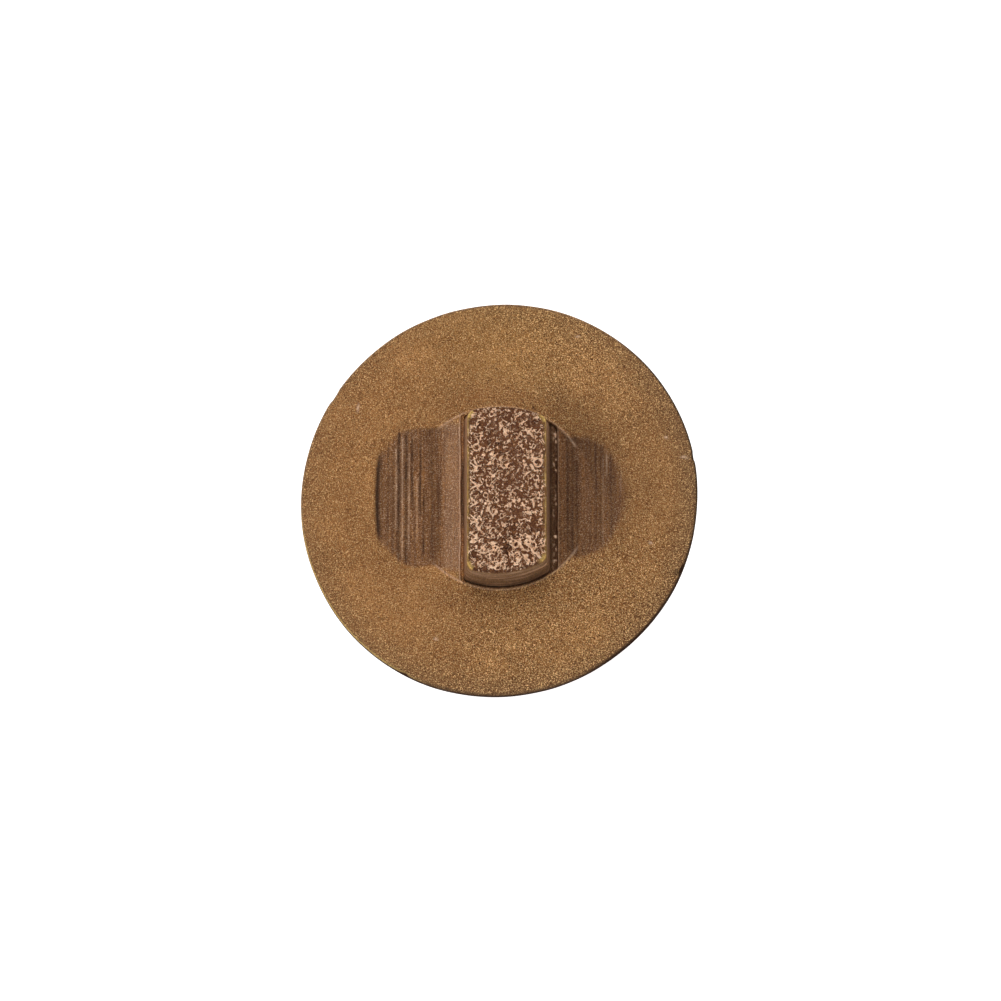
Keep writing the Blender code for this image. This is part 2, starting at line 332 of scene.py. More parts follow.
def head_surface(x, y):
    """Height above the level part of the head, and the masks that the bronze reads."""
    r = np.hypot(x, y)
    from_boss = np.hypot(x, y - BOSS_Y) - BOSS_RADIUS
    angle = np.arctan2(y, x)
    left = x < TANG_MIDDLE
    grain = cast_grain(x, y)
    pits, dents = cast_marks(x, y)
    skin = dome(r) + grain - pits - 0.05 * dents
    lip = np.exp(-((from_boss - 0.15) / 0.20) ** 2)
    skin = skin + np.where(left, 0.03, 0.07) * lip

    floor, dirt_and_shade, ridge = pocket_floor(x, y)
    ragged = 0.45 * fractal(x + 3.0, y, 1.6, 29, 2)
    band = np.where(left, 10.9, 8.9 - 0.22 * np.clip(x - 14.0, 0.0, 9.0) ** 1.2)
    in_band = 1.0 - smooth((np.abs(y) - band + ragged + 0.7) / np.where(left, 1.5, 2.2))
    in_boss = 1.0 - smooth((from_boss + 0.22) / 0.26)
    left_end = POCKET_LEFT_END + 0.007 * y * y
    inside = np.where(left, smooth((x - left_end + 0.12 * ragged) / 0.30),
                      1.0 - smooth((x - POCKET_RIGHT_END + ragged + 1.7) / 3.2))
    reach = np.maximum(in_band * inside, in_boss)
    cut = np.clip(skin - floor - 0.7 * grain, 0.0, None) * reach
    height = skin - cut
    milled = smooth((cut + 0.05 * ragged) / np.where(left, 0.14, 0.22))

    groove, beyond = foot_groove(x, y)
    groove = groove * in_boss
    height = height - np.where(left, 0.30, 0.55) * groove

    # darker line along the left pocket's outer step, and a fainter one at the right pocket's far end
    step = np.exp(-((x - left_end - 0.34) / 0.38) ** 2) * smooth((8.6 - np.abs(y)) / 4.0)
    far_end = np.exp(-((x - 20.2) / 0.5) ** 2) * smooth((4.5 - np.abs(y)) / 3.0)
    at_end = 1.0 - smooth((np.abs(x - TANG_MIDDLE) - 5.6) / 1.2)
    # crease round the foot of the tang's ends, darkened as a painted shadow line
    foot = np.exp(-((from_boss + BOSS_RADIUS - TANG_END_FOOT - 0.06) / 0.13) ** 2) * at_end
    # painted highlight on a lip round the tang's ends, stronger at the bottom
    end_lip = np.exp(-((from_boss - 0.08) / 0.15) ** 2) * at_end * np.where(y > 0.0, 0.15, 0.30)
    tip = np.exp(-((from_boss + 0.50) / 0.38) ** 2) * smooth((x + 7.0) / 0.7) * (left & (y < 0.0))
    # darker bands along both pockets; the band beside the tang on the right and the right pocket's extra
    # darkness are the tang's painted shadow
    pocket_bands_and_shadow = 0.22 * np.exp(-((x + 10.3) / 1.3) ** 2) + 0.20 * np.exp(-((x - 11.5) / 1.6) ** 2)
    pocket_bands_and_shadow = pocket_bands_and_shadow + np.where(left, 0.06, 0.15)
    # painted shade on the slope round the boss, strongest up and to the right, and a painted shadow line
    # just outside the boss above the tang
    tarnish_and_shade = 0.06 + 0.27 * np.exp(-(turned_from(angle, 35.0) / 48.0) ** 2)
    tarnish_and_shade = tarnish_and_shade * np.exp(-((r - 17.8) / 2.7) ** 2) * (r > 14.9)
    tarnish_and_shade = tarnish_and_shade + 0.12 * np.exp(-((from_boss - 0.75) / 0.55) ** 2) * (y > 0.0)
    # dirt and painted shade together darken the colour here
    grime_and_shade = np.clip(0.78 * step + 0.12 * far_end + milled * (0.95 * dirt_and_shade + pocket_bands_and_shadow) + tarnish_and_shade, 0.0, 1.0)
    grime_and_shade = np.maximum(grime_and_shade, 0.50 * tip)
    # painted shade in the grooves beside the flats, darkest in the middle of the left one and in the tang's
    # shadow on the right
    dark_left = 0.05 + 0.55 * smooth((6.5 - np.abs(y - 0.8)) / 2.5)
    grime_and_shade = np.maximum(grime_and_shade, np.maximum(groove * np.where(left, dark_left, 0.55), 0.70 * foot))

    # painted highlights: the grooves' outer shoulders, the boss's edge beyond the tang, the lit left pocket
    # next to the tang, the end lips and the ridges between tool lines
    shoulder = np.exp(-((beyond - 0.08) / 0.11) ** 2) * in_boss
    edge = np.exp(-((from_boss - 0.05) / 0.16) ** 2) * smooth((np.abs(x - TANG_MIDDLE) - 6.2) / 1.0)
    edge = edge * smooth((np.abs(y) - np.where(left, 10.2, 7.5)) / 1.2)
    edge = edge * np.where(left, 0.8, 1.0)
    near = left * smooth((x + 9.3) / 1.2) * milled * (1.0 - groove)
    shoulder = shoulder * np.where(left, 0.42, 0.26)
    crest = np.clip(0.09 * near + shoulder + 0.36 * edge + end_lip + 0.30 * ridge * milled, 0.0, 1.0)

    grains = smooth((lattice_noise(x + 5.0, y, 0.55, 47) - 0.20) / 0.25)
    in_groove = np.exp(-((x - TANG_RIGHT_FOOT - 0.75) / 0.28) ** 2) * groove * (~left)
    sparse = smooth((lattice_noise(x, y, 2.4, 53) + 0.35) / 0.4)
    # darker in the casting pits; dents painted bright as highlights
    grime_and_shade = np.maximum(grime_and_shade, np.clip(3.0 * pits, 0.0, 0.8))
    crest = np.maximum(crest, 0.8 * np.clip(dents, 0.0, 1.0))
    glint = grains * in_groove * sparse
    height = height + 0.12 * glint
    crest = np.maximum(crest, glint)
    grime_and_shade = grime_and_shade * (1.0 - glint)
    # painted light: the head's top side, towards +Y, a little lighter
    bare_and_highlight = 0.06 * np.exp(-(turned_from(angle, 90.0) / 28.0) ** 2) * smooth((r - 16.5) / 4.0)
    # the skin dulls towards the rim, most of all at the lower right; from r 17 outwards the right side also
    # gets a painted shade
    lower_right = smooth(0.5 + 0.006 * (85.0 - np.abs(turned_from(angle, -42.0))))
    dull_and_shade = smooth((r - 26.0) / 5.5) * (0.32 + 0.45 * lower_right)
    dull_and_shade = dull_and_shade + 0.22 * smooth((r - 17.0) / 4.0) * np.exp(-(turned_from(angle, 15.0) / 42.0) ** 2)
    rough = np.exp(-(turned_from(angle, -62.0) / 45.0) ** 2)
    rough = rough + 0.6 * np.exp(-(turned_from(angle, 60.0) / 32.0) ** 2)
    return height, {"milled": milled, "grime_and_shade": grime_and_shade, "crest": crest, "bare_and_highlight": bare_and_highlight,
                    "dull_and_shade": np.clip(dull_and_shade, 0.0, 1.0), "rough": np.clip(rough, 0.0, 1.0)}


RIM_ROUND = 0.48  # inset and drop of the rounded upper edge
RIM_DROP = 0.42
RIM_FOOT = 0.55  # the side ends this far above the underside
MID_AT_FLATS = 20.9  # how far out the rings follow the tang's outline
MID_AT_ENDS = 22.4
DENSE_SHARE = 0.115  # next to the tang the rings are closer together
DENSE_RINGS = 16
MID_RINGS = 92
OUTER_RINGS = 36
# painted shade down the side, more painted shade on the right, and a painted highlight at the lower left,
# for each ring from the edge down the side
RIM_LOOK = ((0.08, 0.12, 0.0), (0.20, 0.50, 0.4), (0.40, 0.50, 0.5), (0.65, 0.30, 0.2),
            (0.85, 0.12, 0.0), (0.92, 0.05, 0.0), (0.96, 0.0, 0.0), (0.96, 0.0, 0.0))


def head_rings():
    """Flat rings from inside the tang's foot out to the rounded edge, and each point's direction."""
    start, normal = foot_outline(COARSE)
    side = np.abs(normal[:, 0])
    on_flat = smooth((side - 0.62) / 0.38)
    mid_flat = np.where(normal[:, 0] < 0, TANG_LEFT_FOOT + MID_AT_FLATS, MID_AT_FLATS - TANG_RIGHT_FOOT)
    mid_end = MID_AT_ENDS - TANG_END_FOOT
    distance = on_flat * mid_flat + (1.0 - on_flat) * mid_end
    fine = np.linspace(0.0, DENSE_SHARE, DENSE_RINGS, endpoint=False)
    wide = np.linspace(DENSE_SHARE, 1.0, MID_RINGS)
    shares = np.concatenate((fine, wide))
    flat_rings = [start - 0.5 * normal, start - 0.12 * normal]
    flat_rings += [start + normal * (distance * share)[:, None] for share in shares]
    mid = flat_rings[-1]
    angle = np.arctan2(mid[:, 1], mid[:, 0])
    radius = rim_radius(angle) - RIM_ROUND
    edge = np.stack((radius * np.cos(angle), radius * np.sin(angle)), axis=1)
    for step in range(1, OUTER_RINGS + 1):
        flat_rings.append(mid + (edge - mid) * step / OUTER_RINGS)
    return np.array(flat_rings), angle


def rim_radius(angle):
    """Outline of the head: slightly out of round, with a hand-finished edge."""
    oval = 0.38 * np.cos(2.0 * (angle - math.radians(49.0)))
    around_x, around_y = 9.0 * np.cos(angle), 9.0 * np.sin(angle)
    hand = 0.09 * fractal(around_x, around_y, 4.0, 41, 3)
    return np.minimum(HEAD_RADIUS - 0.37 + oval + hand, HEAD_RADIUS)


def build_head(material):
    """Head as one closed shell: grained and milled face, rounded rim, flat turned underside."""
    flat_rings, angle = head_rings()
    x, y = flat_rings[..., 0], flat_rings[..., 1]
    height, face_masks = head_surface(x, y)
    height[0] = -2.0
    height[1] = height[1] - 0.4
    top = np.dstack((x, y, LEVEL + height))
    edge_height = top[-1, :, 2]
    radius = rim_radius(angle)
    nick = rim_nicks(angle)
    rings = [*top]
    for turn in (18.0, 36.0, 54.0, 72.0, 90.0):
        rise = math.radians(turn)
        inset = RIM_ROUND * (math.sin(rise) - 1.0)
        drop = RIM_DROP * (1.0 - math.cos(rise))
        rings.append(ring_at(radius + inset - nick, angle, edge_height - drop))
    side_drop = edge_height - RIM_DROP - HEAD_BOTTOM - RIM_FOOT
    for share in (0.33, 0.66, 1.0):
        side_height = edge_height - RIM_DROP - side_drop * share
        rings.append(ring_at(radius - nick * (1.0 - share), angle, side_height))
    rings.append(ring_at(radius - 0.25, angle, HEAD_BOTTOM + 0.15))
    rings.append(ring_at(radius - 0.6, angle, HEAD_BOTTOM))
    for r in (29.0, 26.0, 22.0, 18.0, 14.0, 10.0, 6.0):
        rings.append(ring_at(r, angle, HEAD_BOTTOM))
    rings = np.array(rings)
    masks = {}
    for name, values in face_masks.items():
        masks[name] = np.zeros(rings.shape[:2])
        masks[name][:len(top)] = values
    rim = slice(len(top), len(top) + 6)
    # painted shade on the rim's side towards the right and bottom, more on the right, and a painted
    # highlight at the lower left, where the light comes from
    dark = smooth((np.cos(angle + math.radians(55.0)) + 0.55) / 0.4)
    bright = smooth((38.0 - np.abs(turned_from(angle, 215.0))) / 20.0)
    masks["dull_and_shade"][rim] = 1.0
    right = smooth((np.cos(angle + 0.1) - 0.45) / 0.25)
    for step, (dirt_and_shade, right_shade, worn_and_lit) in enumerate(RIM_LOOK):
        rim_shade = dirt_and_shade * dark * (1.0 - worn_and_lit * bright) + right_shade * right
        masks["grime_and_shade"][len(top) + step] = np.clip(rim_shade, 0.0, 0.97)
        masks["bare_and_highlight"][len(top) + step] = worn_and_lit * bright
    masks["milled"][len(top) + len(RIM_LOOK):] = 1.0
    # from the underside up, so that the faces point outwards
    masks = {name: values[::-1] for name, values in masks.items()}
    head = ring_mesh("plug_head", rings[::-1], masks, closed=False)
    place(head, "plug", material, "drain_plug")


def ring_at(radius, angle, z):
    """Ring of points round the axis. Radius and height are numbers, or arrays with one per direction."""
    height = np.broadcast_to(z, angle.shape)
    return np.stack((radius * np.cos(angle), radius * np.sin(angle), height), axis=1)


# dents in the rim: (direction in degrees, depth, half width in degrees)
NICKS = ((-22.0, 0.5, 1.3), (12.0, 0.25, 1.0), (148.0, 0.2, 1.6), (-118.0, 0.25, 1.2))


def rim_nicks(angle):
    """How deep the dents cut into the rim in each direction."""
    total = np.zeros_like(angle)
    for where, depth, half in NICKS:
        total += depth * np.exp(-(turned_from(angle, where) / half) ** 2)
    return total


# ---------------------------------------------------------------- the tang
# gas craters with a lip, and plain hollows: (x, y, radius)
CRATERS = ((6.2, 3.9, 0.62), (-3.4, 6.4, 0.52), (5.4, -9.1, 0.50), (2.8, -9.0, 0.48), (0.6, -4.5, 0.32),
           (-1.9, -1.2, 0.36))
HOLLOWS = ((2.2, -6.6, 1.00), (1.5, -9.7, 0.75), (5.8, -6.2, 0.80), (-0.9, 8.0, 0.70), (0.0, 6.2, 0.80),
           (-2.6, 9.6, 0.60), (5.2, 10.2, 0.60), (-3.6, -10.4, 0.60))
SPINE_FLAT = 7.0  # half length of the middle line beside the flats
SPINE_TIP = 9.8
SMOOTH_SPOT = (3.0, -3.4, 1.05)
WEDGE_TOP = 3.1  # the row of wedges runs down from here
WEDGE_SPACING = 2.75
WEDGE_COUNT = 5
TANG_EDGE = 0.32  # round of the tang's upper edge
TANG_SHELF = TANG_TOP - 0.26  # mean level of the rough top
FOOT_SINK = 1.8  # how deep the tang's foot sits in the head
TOP_RINGS = 58
WALL_RINGS = 50


def wedges(x, y):
    """Row of small wedge-shaped crests along the left edge of the tang."""
    total = np.zeros_like(x)
    for index in range(WEDGE_COUNT):
        tip_y = WEDGE_TOP - WEDGE_SPACING * index
        for lean in (1.0, -0.75):
            along = np.clip((x + 4.5) / 1.2, 0.0, 1.0)
            line_y = tip_y + lean * (1.0 - along)
            away = np.hypot((y - line_y) * 0.8, np.maximum(np.abs(x + 3.9) - 0.6, 0.0))
            total = np.maximum(total, np.exp(-(away / 0.17) ** 2))
    return total


def tang_skin(x, y):
    """Rough as-cast top, a net of small crests with hollows and craters: height, and the crest mask that
    paints highlights on the crests and crater lips.
    """
    warp_x = x + 0.26 * fractal(x, y, 0.7, 61, 2)
    warp_y = y + 0.26 * fractal(x + 30.0, y, 0.7, 67, 2)
    field = fractal(x, y, 2.2, 83, 2)
    low_end = smooth((-5.0 - y) / 3.5)
    mesh = np.maximum(ridged(warp_x, warp_y, 0.85, 71), ridged(warp_y - 7.0, warp_x, 1.10, 73))
    mesh = np.maximum(mesh, ridged(warp_x + warp_y, 0.8 * (warp_y - warp_x), 1.00, 75) - 0.02)
    broken = smooth((lattice_noise(x + 11.0, y, 0.62, 79) + 0.16 + 0.20 * field + 0.20 * low_end) / 0.30)
    crest = smooth((mesh - 0.872 + 0.04 * field + 0.02 * low_end) / 0.070) * broken
    crest = np.maximum(crest, 0.9 * wedges(x, y))
    spot_x, spot_y, spot_size = SMOOTH_SPOT
    plain = np.exp(-(np.hypot(x - spot_x, y - spot_y) / spot_size) ** 4)
    crest = crest * (1.0 - 0.85 * plain)
    height = 0.13 * crest + 0.07 * field + 0.05 * fractal(x, y, 0.6, 89, 2)
    for cx, cy, size in HOLLOWS:
        bowl = np.exp(-(np.hypot(x - cx, (y - cy) * 0.8) / size) ** 4)
        crest = crest * (1.0 - 0.9 * bowl)
        height = height - 0.16 * bowl
    for cx, cy, size in CRATERS:
        away = np.hypot(x - cx, y - cy) / size
        bowl = 1.0 - smooth(away / 0.9)
        lip = np.exp(-((away - 1.0) / 0.24) ** 2)
        # crater lips painted bright as highlights
        height = height * (1.0 - 0.8 * bowl) - 0.22 * bowl + 0.08 * lip
        crest = np.clip(crest * (1.0 - bowl) + 0.95 * lip, 0.0, 1.0)
    return height, crest


def tang_spine(counts):
    """Where each outline point lands on the tang's middle line, the same for both sides of it."""
    flat_steps, corner_steps, end_steps = counts
    cap_steps = 2 * corner_steps + end_steps
    rise = SPINE_FLAT * (2.0 * np.arange(flat_steps) / flat_steps - 1.0)
    cap = 1.0 - np.abs(2.0 * np.arange(cap_steps) / cap_steps - 1.0)
    cap = SPINE_FLAT + (SPINE_TIP - SPINE_FLAT) * cap
    return np.concatenate((rise, cap, -rise, -cap))


def build_tang(material):
    """Tang as a closed shell: cast top, rounded edge, drafted walls, foot sunk in the head."""
    top_out, top_normal = top_outline(FINE)
    foot_out, _ = foot_outline(FINE)
    around = len(top_out)
    # rings shrink towards the tang's middle line, so the cells stay even along the flats
    core = np.stack((np.full(around, TANG_MIDDLE), tang_spine(FINE)), axis=1)
    inner = top_out - top_normal * TANG_EDGE
    along = np.cumsum(np.hypot(*np.diff(np.vstack((top_out, top_out[:1])), axis=0).T))
    side = np.abs(top_normal[:, 0])
    at_corner = smooth((side - 0.45) / 0.12) * (1.0 - smooth((side - 0.985) / 0.015))
    at_flat = smooth((side - 0.985) / 0.015)
    low = (top_normal[:, 1] < -0.5) * 1.0
    worn_and_lit = 0.85 * at_corner + at_flat * (0.34 + 0.40 * lattice_noise(along, along * 0.0, 2.2, 101))
    worn_and_lit = np.clip(worn_and_lit, 0.0, 1.0)
    at_end = 1.0 - smooth((side - 0.45) / 0.12)
    rings, crests, bares, dark_values = [], [], [], []

    def add(flat, z, crest, bare_and_highlight, grime_and_shade):
        rings.append(np.column_stack((flat, np.broadcast_to(z, around))))
        crests.append(np.broadcast_to(crest, around))
        bares.append(np.broadcast_to(bare_and_highlight, around))
        dark_values.append(np.broadcast_to(grime_and_shade, around))

    for step in range(TOP_RINGS + 1):
        share = step / TOP_RINGS
        flat = core + (inner - core) * share
        height, crest = tang_skin(flat[:, 0], flat[:, 1])
        border = smooth((share - 0.93) / 0.06)
        add(flat, TANG_SHELF + height * (1.0 - 0.75 * border), crest * (1.0 - 0.6 * border),
            border * (0.20 * worn_and_lit + 0.35 * at_corner), 0.0)
    for turn in (22.5, 45.0, 67.5, 90.0):
        rise = math.radians(turn)
        out = inner + top_normal * TANG_EDGE * math.sin(rise)
        height, crest = tang_skin(out[:, 0], out[:, 1])
        add(out, TANG_SHELF + 0.2 * height * math.cos(rise) - TANG_EDGE * (1.0 - math.cos(rise)),
            0.1 * crest, worn_and_lit * (1.0 if turn < 60.0 else 0.5), 0.30 * at_end)
    top_wall = TANG_SHELF - TANG_EDGE
    foot = LEVEL - FOOT_SINK
    for step in range(1, WALL_RINGS + 1):
        share = step / WALL_RINGS
        out = top_out + (foot_out - top_out) * share
        z = top_wall + (foot - top_wall) * share
        rough = 0.07 * fractal(along, along * 0.0 + z * 1.6, 1.3, 97, 3)
        rough *= 1.0 - 0.85 * at_flat
        # painted highlights on the walls: streaks on the ends, lighter flats, the left one more, and glint
        # lines near the top of the lower end wall
        streak = smooth((fractal(along * 0.13, along * 0.0 + z, 0.75, 103, 2) - 0.02) / 0.42)
        flat_light = at_flat * np.where(top_normal[:, 0] < 0, 0.40, 0.28)
        edge_line = math.exp(-((share - 0.09) / 0.04) ** 2) + 0.7 * math.exp(-((share - 0.29) / 0.04) ** 2)
        edge_line = 0.62 * low * edge_line * (0.35 + 0.65 * streak)
        add(out + top_normal * rough[:, None], z,
            (0.11 + 0.34 * streak) * (1.0 - at_flat) + flat_light + edge_line,
            0.25 * (1.0 - smooth(share / 0.12)) * worn_and_lit,
            (0.08 + 0.18 * smooth((share - 0.30) / 0.45)) * (1.0 - at_flat))
    rings = np.array(rings)
    first_wall = len(rings) - WALL_RINGS
    flats = np.zeros(rings.shape[:2])
    flats[first_wall:] = 0.5 * at_flat
    walls = np.zeros(rings.shape[:2])
    walls[first_wall:] = 1.0
    masks = {"crest": np.array(crests), "bare_and_highlight": np.array(bares), "grime_and_shade": np.array(dark_values), "milled": flats,
             "dull_and_shade": walls}
    masks["scale"] = np.zeros((len(rings), around))
    masks["scale"][:first_wall - 2] = 1.0
    # from the foot up, so that the faces point outwards
    masks = {name: values[::-1] for name, values in masks.items()}
    tang = ring_mesh("plug_tang", rings[::-1], masks, closed=False, seam=True)
    place(tang, "plug", material, "drain_plug")


# ---------------------------------------------------------------- threaded pieces
def thread_shape(turns):
    """Height of a 60 degree thread from root 0 to crest 1, for a phase counted in turns."""
    phase = turns - np.floor(turns)
    rise = 1.0 - np.abs(2.0 * phase - 1.0)
    return np.clip((rise - 0.14) / 0.72, 0.0, 1.0)


def profile_rings(profile, steps):
    """Rings from (radius, height) points, all round."""
    angle = np.arange(steps) * 2.0 * math.pi / steps
    return [ring_at(r, angle, z) for r, z in profile]


def thread_rings(root, crest, bottom, top, steps, limit=None):
    """Rings of a right-handed thread. limit(radius, z) bounds it, as a lead-in chamfer does."""
    angle = np.arange(steps) * 2.0 * math.pi / steps
    count = int((top - bottom) / THREAD_PITCH * THREAD_ROWS)
    rings = []
    for z in np.linspace(bottom, top, count):
        radius = root + (crest - root) * thread_shape(z / THREAD_PITCH - angle / (2.0 * math.pi))
        if limit is not None:
            radius = limit(radius, z)
        rings.append(ring_at(radius, angle, z))
    return rings


def turned_mask(rings):
    return {"turned": np.ones(rings.shape[:2])}


def build_shank(material):
    """Threaded shank of the plug with a lead-in chamfer and a centre-drilled end."""
    steps = 120
    root, crest = SHANK_RADIUS - SHANK_THREAD_DEPTH, SHANK_RADIUS
    neck = HEAD_BOTTOM - 2.2
    profile = [(0.05, SHANK_BOTTOM + 2.4), (1.1, SHANK_BOTTOM + 1.3), (2.0, SHANK_BOTTOM),
               (5.0, SHANK_BOTTOM), (root - 0.7, SHANK_BOTTOM), (root - 0.1, SHANK_BOTTOM + 0.5)]
    rings = profile_rings(profile, steps)

    def lead_in(radius, z):
        cone = root - 0.1 + (z - SHANK_BOTTOM - 0.5)
        run_out = root + (neck - z) * 1.2 + 0.05
        return np.minimum(np.minimum(radius, max(cone, root - 0.1)), max(run_out, root))

    rings += thread_rings(root, crest, SHANK_BOTTOM + 0.6, neck, steps, lead_in)
    rings += profile_rings([(root, neck + 0.1), (root, HEAD_BOTTOM - 0.4), (root + 0.4, HEAD_BOTTOM),
                            (root, HEAD_BOTTOM + 0.6)], steps)
    rings = np.array(rings)
    shank = ring_mesh("plug_shank", rings, turned_mask(rings), closed=False)
    place(shank, "plug", material, "drain_plug")


_, body_high = (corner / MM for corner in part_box("thru_hull_body"))
FLANGE_RADIUS = body_high.x
FLANGE_TOP = body_high.z
FLANGE_THICKNESS = 4.5
FLANGE_BOTTOM = FLANGE_TOP - FLANGE_THICKNESS
STEM_RADIUS = 13.2
STEM_THREAD_DEPTH = 1.1
BORE_RADIUS = 9.5
THROAT_RADIUS = 10.8
THROAT_DEPTH = 17.5
THROAT_FLOOR = FLANGE_TOP - THROAT_DEPTH
INSIDE_THREAD_DEPTH = 0.9
LUG_HEIGHT = 1.6
LUG_LENGTH = 12.0
LUG_HALF_WIDTH = 1.7
LUG_HALF_ANGLE = math.asin(LUG_HALF_WIDTH / BORE_RADIUS)


def build_body(material):
    """Stem with its thread, mushroom flange, threaded throat and bore with two wrench lugs."""
    steps = 112
    angle = np.arange(steps) * 2.0 * math.pi / steps
    root = STEM_RADIUS - STEM_THREAD_DEPTH
    neck = FLANGE_BOTTOM - 1.2

    def ends(radius, z):
        cone = root - 0.2 + (z - 0.25)
        run_out = root + (neck - z) * 1.2 + 0.05
        return np.minimum(np.minimum(radius, max(cone, root - 0.2)), max(run_out, root))

    rings = profile_rings([(BORE_RADIUS + 0.35, 0.0), (root - 0.45, 0.0)], steps)
    rings += thread_rings(root, STEM_RADIUS, 0.25, neck, steps, ends)
    profile = [(root, neck + 0.2), (root, FLANGE_BOTTOM - 0.5), (root + 0.15, FLANGE_BOTTOM - 0.15),
               (root + 0.5, FLANGE_BOTTOM)]
    profile += [(r, FLANGE_BOTTOM) for r in np.linspace(14.5, FLANGE_RADIUS - 1.9, 8)]
    for turn in range(-75, 76, 15):
        rise = math.radians(turn)
        nose_radius = FLANGE_RADIUS - 1.6 + 1.6 * math.cos(rise)
        profile.append((nose_radius, FLANGE_BOTTOM + 1.7 + 1.7 * math.sin(rise)))
    profile += [(FLANGE_RADIUS - 3.2, FLANGE_TOP - 0.5), (FLANGE_RADIUS - 5.0, FLANGE_TOP)]
    profile += [(r, FLANGE_TOP) for r in (20.0, 17.0, 14.0, THROAT_RADIUS + 1.1)]
    profile += [(THROAT_RADIUS + 0.75, FLANGE_TOP - 0.12), (THROAT_RADIUS + 0.05, FLANGE_TOP - 0.9)]
    rings += profile_rings(profile, steps)
    rings += thread_rings(THROAT_RADIUS + INSIDE_THREAD_DEPTH, THROAT_RADIUS + 0.05, THROAT_FLOOR + 1.2,
                          FLANGE_TOP - 1.0, steps)[::-1]
    rings += profile_rings([(THROAT_RADIUS, THROAT_FLOOR + 0.9), (THROAT_RADIUS, THROAT_FLOOR),
                            (BORE_RADIUS + 0.3, THROAT_FLOOR - 0.9)], steps)
    lug_top = THROAT_FLOOR - 2.0
    away = np.abs(np.angle(np.exp(2j * angle))) / 2.0
    on_lug = 1.0 - smooth((away - LUG_HALF_ANGLE + 0.04) / 0.06)
    lug_bottom = lug_top - LUG_LENGTH
    ease = 0.35  # height over which a lug's end rounds off
    for z in (THROAT_FLOOR - 1.2, lug_top + ease, lug_top, lug_top - ease, lug_top - 4.0, lug_top - 8.0,
              lug_bottom + ease, lug_bottom, lug_bottom - ease, 18.0, 8.0, 0.35):
        depth = LUG_HEIGHT * (lug_bottom - 0.1 < z < lug_top + 0.1)
        depth *= 0.75 if z in (lug_top, lug_bottom) else 1.0
        rings.append(ring_at(BORE_RADIUS - depth * on_lug, angle, z))
    rings = np.array(rings)
    body = ring_mesh("thru_hull_stem", rings, turned_mask(rings), closed=True, sharp=50.0)
    place(body, "fixed_body", material, "thru_hull_body")


def build_nut(material):
    """Hexagon nut with turned chamfers and an internal thread."""
    low, high = (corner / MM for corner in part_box("hull_nut"))
    half_flats = 0.5 * (high.y - low.y)
    steps = 144
    angle = np.arange(steps) * 2.0 * math.pi / steps
    face = np.mod(angle + math.pi / 6.0, math.pi / 3.0) - math.pi / 6.0
    away = np.mod(angle, math.pi / 3.0) - math.pi / 6.0
    hexagon = half_flats / np.cos(away)
    wear = 0.10 * np.exp(-(face / 0.02) ** 2)
    corner = half_flats / math.cos(math.pi / 6.0)
    rings = []
    depth = high.z - low.z
    for share in (0.0, 0.012, 0.03, 0.05, 0.07, 0.09, 0.11, 0.14, 0.5, 0.86, 0.89, 0.91, 0.93, 0.95, 0.97,
                  0.988, 1.0):
        z = low.z + depth * share
        from_end = min(z - low.z, high.z - z)
        cone = half_flats - 0.35 + from_end * 2.1
        rings.append(ring_at(np.minimum(hexagon - wear, min(cone, corner)), angle, z))
    bore = STEM_RADIUS + 0.3
    groove = bore + INSIDE_THREAD_DEPTH
    rings += profile_rings([(groove + 0.5, high.z), (groove, high.z - 0.5)], steps)

    def open_ends(radius, z):
        flare = groove - 0.5 - min(z - low.z, high.z - z)
        return np.maximum(radius, min(flare, groove))

    rings += thread_rings(groove, bore, low.z + 0.55, high.z - 0.55, steps, open_ends)[::-1]
    rings += profile_rings([(groove, low.z + 0.5), (groove + 0.5, low.z)], steps)
    rings = np.array(rings)
    nut = ring_mesh("stem_nut", rings, turned_mask(rings), closed=True, sharp=28.0)
    place(nut, "nut", material, "hull_nut")


# ---------------------------------------------------------------- rings
def build_ring(name, node, body, bore, edge, swell, material):
    """Gasket or washer in its CAD node's box, with rounded edges and slightly uneven faces."""
    low, high = (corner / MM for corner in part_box(node))
    outer = high.x
    thickness = high.z - low.z
    steps = 180
    angle = np.arange(steps) * 2.0 * math.pi / steps
    profile = []
    for turn in range(-90, 91, 18):
        rise = math.radians(turn)
        flat_half = 0.5 * thickness - edge
        mid = 0.5 * (low.z + high.z)
        z = mid + math.copysign(flat_half, turn) * (turn != 0) + edge * math.sin(rise)
        profile.append((outer - edge - swell + edge * math.cos(rise) + swell * math.cos(rise) ** 2, z))
    faces = np.linspace(outer - edge - swell, bore + 0.15, 14)[1:]
    profile = [(r, low.z) for r in faces[::-1]] + profile + [(r, high.z) for r in faces]
    profile += [(bore, high.z - 0.15), (bore, low.z + 0.15)]
    rings = []
    for r, z in profile:
        inward = 0.02 + 0.02 * lattice_noise(r * np.cos(angle), r * np.sin(angle), 2.5, 131)
        pull = inward if z > 0.5 * (low.z + high.z) else -inward
        rings.append(ring_at(r, angle, z - pull))
    rings = np.array(rings)
    ring = ring_mesh(name, rings, turned_mask(rings), closed=True, sharp=50.0)
    place(ring, body, material, node)


